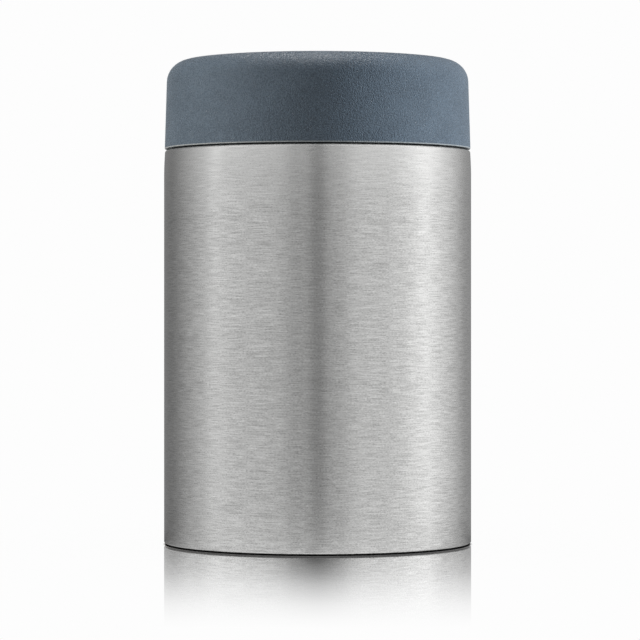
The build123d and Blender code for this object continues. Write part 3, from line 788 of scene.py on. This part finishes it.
# %% [markdown]
# ## What is hidden in the walls
#
# These pieces show when the jar is taken apart or cut open. Closed-cell foam is a froth of
# bubbles a millimetre wide, and a Voronoi texture makes just such cells. Copper foil is wrapped
# round the vessel by hand and crinkles. The pump-out hole is closed with a bead of dark solder
# glass, the getter is a pill of pressed metal powder, and the spring is drawn wire.

# %% Hidden finishes
BUBBLE, CRINKLE = 1.1, 9  # mm across

foam, tree, froth, place = new_finish("closed_cell_foam", Subsurface_Weight=0.15, Subsurface_Scale=2 * MM)
cells = {"Vector": place, "Scale": 1 / (BUBBLE * MM)}
bubbles = add_node(tree, "ShaderNodeTexVoronoi", cells, feature="DISTANCE_TO_EDGE")
colour = blend_colours(tree, bubbles, 0.0, 0.3, "#D9D6CB", "#F1EEE5")
dress(tree, froth, colour, bubbles, (0.8, 0.9), 0.25)

copper_foil, tree, foil, place = new_finish("copper_foil", Metallic=1.0)
cells = {"Vector": place, "Scale": 1 / (CRINKLE * MM)}
crinkles = add_node(tree, "ShaderNodeTexVoronoi", cells, feature="DISTANCE_TO_EDGE")
cloud = grain(tree, place, (5, 5, 5), detail=3)
colour = blend_colours(tree, cloud, 0.35, 0.7, "#C8865F", "#E8B08C")
dress(tree, foil, colour, crinkles, (0.16, 0.28), 0.5)

solder_glass = grained_finish(
    "solder_glass", (0.5, 0.5, 0.5), 2, (0.4, 0.7, "#22262A", "#3A4147"), (0.06, 0.14), 0.02, IOR=1.6
)
shades = (0.4, 0.65, "#3B3836", "#6A6561")
pressed_powder = grained_finish(
    "pressed_metal_powder", (0.25, 0.25, 0.25), 3, shades, (0.7, 0.9), 0.06, Metallic=0.6
)
shades = (0.35, 0.65, "#B3B4B7", "#D3D4D6")
drawn_wire = grained_finish(
    "drawn_stainless_wire", (1.2, 1.2, 0.12), 2, shades, (0.18, 0.28), 0.004, Metallic=1.0
)
print(len(bpy.data.materials), "materials")

# %% [markdown]
# ## The outer shell
#
# One drawn sheet, half a millimetre thick: a foot turned in under the body, the straight wall, a
# last few millimetres that close in a little, the flat shoulder, and the neck that the lid screws
# on. The section follows the sheet's outside up and its inside down. The heights of a piece's foot
# and top are read from the engineering model.


# %% Outer shell
def heights_of(node):
    """The heights of the foot and the top of a piece of the engineering model, in millimetres."""
    low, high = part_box(node)
    return round(low.z / MM, 2), round(high.z / MM, 2)


SHEET = 0.5  # mm, as all sizes of the pieces are
BODY, NECK, FLANGE = 42.5, 36.0, 38.0  # outside radii, and the turned-in foot's inner edge
SHOULDER = 108.8
LEAD_IN, LEAD_IN_INSIDE = 0.27, 0.25  # how far the wall closes in under the shoulder
LEAD_HEIGHT, LEAD_BLEND = 5.0, 60
RIDGE_HEIGHT = 1.1
NECK_RIDGES = SHOULDER + 3.6  # the height where they start
JAR_ARC = (0, 70)  # degrees: where the first of the jar's ridges starts, and how long each is
foot, neck_top = heights_of("outer_shell")
inside = BODY - SHEET
outline = [
    (FLANGE, foot, 0), (BODY, foot, 0.35), (BODY, SHOULDER - LEAD_HEIGHT, LEAD_BLEND),
    (BODY - LEAD_IN, SHOULDER, 0.7), (NECK, SHOULDER, 1.0), (NECK, neck_top, 0),
    (NECK - SHEET, neck_top, 0), (NECK - SHEET, SHOULDER - SHEET, 1.5),
    (inside - LEAD_IN_INSIDE, SHOULDER - SHEET, 0.2), (inside, SHOULDER - LEAD_HEIGHT, LEAD_BLEND),
    (inside, foot + SHEET, 0.1), (FLANGE, foot + SHEET, 0),
]
outer_shell = turned_piece("brushed_body", outline)
add_thread(outer_shell, NECK, NECK + RIDGE_HEIGHT, NECK_RIDGES, *JAR_ARC)
put_on(outer_shell, "jar", "outer_shell", brushed_steel)

# %% [markdown]
# ## The vessel
#
# The cup that holds the food is drawn from sheet of 0.4 mm, necked in above the shoulder and rolled
# over the neck at the lip. Four low ridges inside the mouth are the stopper's thread. The lip is
# where a spoon scrapes, so it is a full round and not an edge.

# %% Inner vessel
THIN = 0.4  # the sheet of the vessel and of the pan under it
VESSEL, MOUTH = 37.3, 33.0  # the outside of the wall, and the inside of the mouth
MOUTH_WALL = 13.0  # straight wall under the lip
MITRE = 0.17  # how much higher the outside's corners are where the sheet slopes
MOUTH_RIDGE_HEIGHT = 1.0
vessel_foot, lip = heights_of("inner_vessel")
MOUTH_RIDGES = lip - 9.4
inside = VESSEL - THIN
slope_top = lip - MOUTH_WALL
slope_foot = slope_top - (inside - MOUTH)
outline = [
    (0, vessel_foot + THIN, 0), (inside, vessel_foot + THIN, 7), (inside, slope_foot, 3),
    (MOUTH, slope_top, 3), (MOUTH, lip, 0.9), (NECK, lip, 0.9), (NECK, neck_top, 0),
    (NECK - THIN, neck_top, 0), (NECK - THIN, lip - THIN, 0.5),
    (MOUTH + THIN, lip - THIN, 0.5), (MOUTH + THIN, slope_top + MITRE, 2.6),
    (VESSEL, slope_foot + MITRE, 3.4), (VESSEL, vessel_foot, 7.4), (0, vessel_foot, 0),
]
inner_vessel = turned_piece("spun_vessel", outline)
add_thread(inner_vessel, MOUTH, MOUTH - MOUTH_RIDGE_HEIGHT, MOUTH_RIDGES, *JAR_ARC)
put_on(inner_vessel, "jar", "inner_vessel", polished_steel)

# %% [markdown]
# ## Under the base
#
# A shallow steel pan closes the bottom and hides the pump-out hole, and a silicone ring under it
# keeps the jar from sliding. The ring stands half a millimetre below the shell, and this gap, with
# the painted shadow on the floor under the jar, makes the thin dark line between the steel and the
# table. One function outlines this ring and the seals.

# %% Base pan and foot ring
PAN = 37.6
FOOT_RING = (33.0, 36.8)  # its inside and its outside


def ring_outline(inside, outside, low, high, roundings):
    """A plain ring's outline, with a rounding for each corner from the lower inner one on."""
    corners = ((inside, low), (outside, low), (outside, high), (inside, high))
    return [(*corner, rounding) for corner, rounding in zip(corners, roundings)]


pan_foot, pan_top = heights_of("base_cover")
outline = [
    (0, pan_foot, 0), (PAN, pan_foot, 0.8), (PAN, pan_top, 0), (PAN - THIN, pan_top, 0),
    (PAN - THIN, pan_foot + THIN, 0.4), (0, pan_foot + THIN, 0),
]
base_cover = turned_piece("base_pan", outline)
put_on(base_cover, "jar", "base_cover", spun_steel)
foot_ring = turned_piece(
    "foot_ring_rubber", ring_outline(*FOOT_RING, *heights_of("foot_ring"), (0.3, 0.3, 0, 0))
)
put_on(foot_ring, "jar", "foot_ring", dark_silicone)

# %% [markdown]
# ## The lid's shell
#
# A round cap with a slight draft, so that it leaves its mould, a generous corner and a top that
# is crowned by half a millimetre. The crown is a part of a very large sphere: four points of it
# are enough, because the shading is smooth.

# %% Lid shell
LID, LID_WALL, LID_TOP_WALL = 42.32, 2.0, 2.1  # the radius at the rim, and the walls
LEAN, LEAN_INSIDE = 0.75, 0.70  # how far the wall leans in from the rim up
CROWN = 0.57
lid_rim, lid_top = heights_of("lid_shell")
lid_edge = LID - LEAN
crown = [(radius, lid_top - CROWN * (radius / lid_edge) ** 2, 0) for radius in (0, 12, 24, 34)]
outline = [
    *crown, (lid_edge, lid_top - CROWN, 6.0), (LID, lid_rim, 0.2), (LID - LID_WALL, lid_rim, 0.2),
    (LID - LID_WALL - LEAN_INSIDE, lid_top - LID_TOP_WALL, 4.0), (0, lid_top - LID_TOP_WALL, 0),
]
lid_shell = turned_piece("lid_cap", outline)
put_on(lid_shell, "lid", "lid_shell", slate_plastic)

# %% [markdown]
# ## The lid's liner and seal
#
# The liner is a second cup inside the lid. It carries the ridges that take hold of the neck, and the
# foam between the two cups keeps the lid cool to the touch. A dark silicone ring sits in a groove
# under the liner's rim and lies on the shoulder. It sets the seam's height, and from outside it
# makes the seam look black. A cap's ridges lie half a thread's pitch under the jar's ridges, a
# little nearer to the ones that hold them down.

# %% Lid liner and seal
LINER, LINER_WALL = 37.5, 1.3  # the inside's radius, and the wall
LINER_CORNER = 4.0  # the inside's
LINER_LIP = 0.8  # between the neck and the seal's groove
PLATE, PLATE_LEAN, PLATE_HEIGHT = 40.27, 0.05, 3.0  # the plate over the groove
SEAL_GAP = 0.3  # beside a seal in its groove
CAP_ARC = (12, 50)  # degrees, the same for the ridges of a cap
LOAD_SHIFT = 0.2


def held_under(jar_ridges):
    """The height where a cap's ridges start, from where the jar's ridges start."""
    return jar_ridges + LEAD * CAP_ARC[0] / 360 + LOAD_SHIFT - LEAD / STARTS / 2


liner_foot, liner_top = heights_of("lid_liner")
seal_foot, seal_top = heights_of("lid_seal")
plate_top = liner_foot + PLATE_HEIGHT
outline = [
    (0, liner_top, 0), (LINER + LINER_WALL, liner_top, LINER_CORNER + LINER_WALL),
    (LINER + LINER_WALL, plate_top, 0.3), (PLATE - PLATE_LEAN, plate_top, 0), (PLATE, seal_top, 0),
    (LINER + LINER_LIP, seal_top, 0), (LINER + LINER_LIP, liner_foot, 0.2), (LINER, liner_foot, 0.2),
    (LINER, liner_top - LINER_WALL, LINER_CORNER), (0, liner_top - LINER_WALL, 0),
]
lid_liner = turned_piece("lid_liner_cup", outline)
add_thread(lid_liner, LINER, LINER - RIDGE_HEIGHT, held_under(NECK_RIDGES), *CAP_ARC)
put_on(lid_liner, "lid", "lid_liner", liner_plastic)
groove = (LINER + LINER_LIP + SEAL_GAP, LID - LID_WALL - SEAL_GAP)
lid_seal = turned_piece("lid_seal_ring", ring_outline(*groove, seal_foot, seal_top, (0.3, 0.3, 0.2, 0.2)))
put_on(lid_seal, "lid_ring", "lid_seal", dark_silicone)

# %% [markdown]
# ## The stopper
#
# The stopper is moulded in two halves that are snapped together round a foam block. The lower one is
# the threaded plug with the tube that guides the vent's pin. The upper one has a well for the button
# and a fluted rim, so that a wet hand can turn it. One cutter is made for the flutes and copied
# round the rim by Spin, and a Boolean takes all of them out at once.

# %% Stopper
FLUTES = 36
FLUTE_RADIUS, FLUTE_AXIS = 1.6, 36.4
FLUTE_MARGIN = 0.1  # the cutter's length past each end
PLUG, SEAT, EDGE = 31.6, 32.6, 35.4  # outside radii of the thread, the seat and the rim
SEAT_HEIGHT = 4.2
STOPPER_WALL, COVER_WALL = 1.8, 1.6
GUIDE, GUIDE_BORE, GUIDE_GAP = 3.9, 2.5, 0.3
GUIDE_PROUD = 0.6  # above the well's floor
WELL, WELL_WALL, WELL_RING = 12.5, 1.4, 1.8
DISH_DEPTH, DISH_RIM = 0.5, 4.0


def cut_flutes(piece, low, high):
    """Cuts the grip flutes into the rim between two heights."""
    bpy.ops.object.select_all(action="DESELECT")
    bpy.ops.mesh.primitive_cylinder_add(
        vertices=32,
        radius=FLUTE_RADIUS * MM,
        depth=(high - low + 2 * FLUTE_MARGIN) * MM,
        location=(FLUTE_AXIS * MM, 0, (low + high) / 2 * MM),
    )
    cutter = bpy.context.object
    bpy.ops.object.transform_apply()
    bpy.ops.object.mode_set(mode="EDIT")
    bpy.ops.mesh.select_all(action="SELECT")
    bpy.ops.mesh.spin(
        steps=FLUTES - 1, dupli=True, angle=2 * math.pi * (1 - 1 / FLUTES), center=(0, 0, 0), axis=(0, 0, 1)
    )
    bpy.ops.object.mode_set(mode="OBJECT")
    cut_with(piece, cutter, "DIFFERENCE")
    print(piece.name, "fluted,", len(piece.data.polygons), "faces")


plug_foot, joint = heights_of("stopper_body")
well_under, stopper_top = heights_of("stopper_cover")
ring_foot, ring_top = heights_of("stopper_seal")
plug_floor, bore = plug_foot + STOPPER_WALL, PLUG - STOPPER_WALL
well_floor = well_under + WELL_WALL
guide_top = well_floor + GUIDE_PROUD
outline = [
    (GUIDE_BORE, plug_foot, 0.2), (PLUG, plug_foot, 2), (PLUG, ring_top - SEAT_HEIGHT, 0),
    (SEAT, ring_top - SEAT_HEIGHT, 0.2), (SEAT, ring_top, 0), (EDGE, ring_top, 0.2), (EDGE, joint, 0),
    (bore, joint, 0), (bore, plug_floor, 0.2), (GUIDE, plug_floor, 0.2), (GUIDE, guide_top, 0.2),
    (GUIDE_BORE, guide_top, 0.2),
]
stopper_body = turned_piece("stopper_plug", outline)
cut_flutes(stopper_body, ring_top, joint)
add_thread(stopper_body, PLUG, PLUG + MOUTH_RIDGE_HEIGHT, held_under(MOUTH_RIDGES), *CAP_ARC)
put_on(stopper_body, "stopper", "stopper_body", stopper_plastic)

guide_hole = GUIDE + GUIDE_GAP
cover_under, dish = stopper_top - COVER_WALL, stopper_top - DISH_DEPTH
outline = [
    (guide_hole, well_floor, 0.2), (WELL, well_floor, 0.3), (WELL, stopper_top, 0.3),
    (WELL + WELL_RING, stopper_top, 0.3), (WELL + WELL_RING, dish, 0.15), (EDGE - DISH_RIM, dish, 0.3),
    (EDGE - DISH_RIM, stopper_top, 0.2), (EDGE, stopper_top, 0.8), (EDGE, joint, 0), (bore, joint, 0),
    (bore, cover_under, 0), (WELL + WELL_WALL, cover_under, 0.3), (WELL + WELL_WALL, well_under, 0.3),
    (guide_hole, well_under, 0),
]
stopper_cover = turned_piece("stopper_cap", outline)
cut_flutes(stopper_cover, joint, stopper_top)
put_on(stopper_cover, "stopper", "stopper_cover", stopper_plastic)
stopper_seal = turned_piece(
    "stopper_seal_ring", ring_outline(SEAT + SEAL_GAP, EDGE, ring_foot, ring_top, (0.2, 0.3, 0.3, 0.2))
)
put_on(stopper_seal, "stopper_ring", "stopper_seal", clear_silicone)

# %% [markdown]
# ## The vent
#
# Hot food seals itself in as it cools. Pressing the button pushes a pin down, its silicone disc
# leaves the hole in the stopper's floor, and air gets in. The button's top is dished for a
# fingertip, and a spring under it brings it back.

# %% Vent
SMALL = 96  # steps round a small piece
PRESS_TRAVEL, STOP_GAP = 2.0, 0.8  # how far the button goes, and what is left under it then
BUTTON, BUTTON_WALL = 12.2, 1.4
HOLLOW_DEPTH, HOLLOW_RADIUS, HOLLOW_EDGE = 0.7, 60, 9.14  # a part of a sphere in the button's top
STEM, SOCKET = 2.0, 3.2
STEM_FOOT, VALVE = 5.2, 7.5

button_foot, button_top = heights_of("vent_button")
stem_foot, stem_top = heights_of("vent_stem")
valve_foot, valve_top = heights_of("valve_seal")
socket_foot = guide_top + PRESS_TRAVEL + STOP_GAP
hollow_floor = button_top - HOLLOW_DEPTH
hollow = [(radius, hollow_floor + radius**2 / (2 * HOLLOW_RADIUS), 0) for radius in (0, 4.6, 7)]
outline = [
    *hollow, (HOLLOW_EDGE, button_top, 4), (BUTTON, button_top, 0.5), (BUTTON, button_foot, 0.2),
    (BUTTON - BUTTON_WALL, button_foot, 0.2), (BUTTON - BUTTON_WALL, stem_top, 0.4),
    (SOCKET, stem_top, 0.3), (SOCKET, socket_foot, 0.1), (STEM, socket_foot, 0.1), (STEM, stem_top, 0),
    (0, stem_top, 0),
]
vent_button = turned_piece("vent_press_button", outline, SMALL)
put_on(vent_button, "vent", "vent_button", slate_plastic)
outline = [
    (0, stem_foot, 0), (STEM_FOOT, stem_foot, 0.3), (STEM_FOOT, valve_foot, 0.1), (STEM, valve_foot, 0),
    (STEM, stem_top, 0.1), (0, stem_top, 0),
]
vent_stem = turned_piece("vent_pin", outline, SMALL)
put_on(vent_stem, "vent", "vent_stem", stopper_plastic)
valve_seal = turned_piece(
    "valve_disc", ring_outline(STEM, VALVE, valve_foot, valve_top, (0, 0.4, 0.1, 0)), SMALL
)
put_on(valve_seal, "vent", "valve_seal", clear_silicone)

# %% [markdown]
# ## The vent's spring
#
# The spring is round wire, wound three and a half times up a helix, with both ends ground flat. A
# Screw modifier carries a ring of vertices along the helix, its two open ends are filled, and a
# Boolean does the grinding. A spring gives way when the button is pressed.

# %% Vent spring
SPRING_LOW, SPRING_HIGH = 115.4, 122.98  # a hair under the button, so that no two faces coincide
SPRING_RADIUS, SPRING_TURNS = 5.6, 3.5
WIRE_RADIUS, WIRE_SIDES = 0.4, 20
WINDING_STEPS = 112

bpy.ops.object.select_all(action="DESELECT")
bpy.ops.mesh.primitive_circle_add(
    vertices=WIRE_SIDES,
    radius=WIRE_RADIUS * MM,
    location=(SPRING_RADIUS * MM, 0, SPRING_LOW * MM),
    rotation=(math.pi / 2, 0, 0),
)
vent_spring = bpy.context.object
vent_spring.name = vent_spring.data.name = "vent_coil"
bpy.ops.object.transform_apply()
winding = vent_spring.modifiers.new("winding", "SCREW")
winding.angle = 2 * math.pi * SPRING_TURNS
winding.screw_offset = (SPRING_HIGH - SPRING_LOW) * MM
winding.steps = winding.render_steps = WINDING_STEPS
bpy.ops.object.modifier_apply(modifier=winding.name)
bpy.ops.object.mode_set(mode="EDIT")
bpy.ops.mesh.select_all(action="SELECT")
bpy.ops.mesh.fill_holes(sides=0)
bpy.ops.mesh.normals_make_consistent()
bpy.ops.object.mode_set(mode="OBJECT")

bpy.ops.mesh.primitive_cylinder_add(
    vertices=64,
    radius=2 * SPRING_RADIUS * MM,
    depth=(SPRING_HIGH - SPRING_LOW) * MM,
    location=(0, 0, (SPRING_LOW + SPRING_HIGH) / 2 * MM),
)
cut_with(vent_spring, bpy.context.object, "INTERSECT")
put_on(vent_spring, "stopper", "vent_spring", drawn_wire)
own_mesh(vent_spring)
print("spring wound,", len(vent_spring.data.polygons), "faces")

# %% [markdown]
# ## Pieces that keep their engineering shape
#
# The hidden plates, the foil, the foams, the glass bead and the getter already have their final
# shape in the engineering model, so they only get their finishes.

# %% Finishes for the kept pieces
for node, finish in (
    ("heat_foil", copper_foil),
    ("vacuum_base", mill_steel),
    ("getter_clip", mill_steel),
    ("vacuum_plug", solder_glass),
    ("getter_pellet", pressed_powder),
    ("lid_foam", foam),
    ("stopper_foam", foam),
):
    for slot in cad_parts[node].material_slots:
        slot.material = finish
    print(node, "has the finish", finish.name)
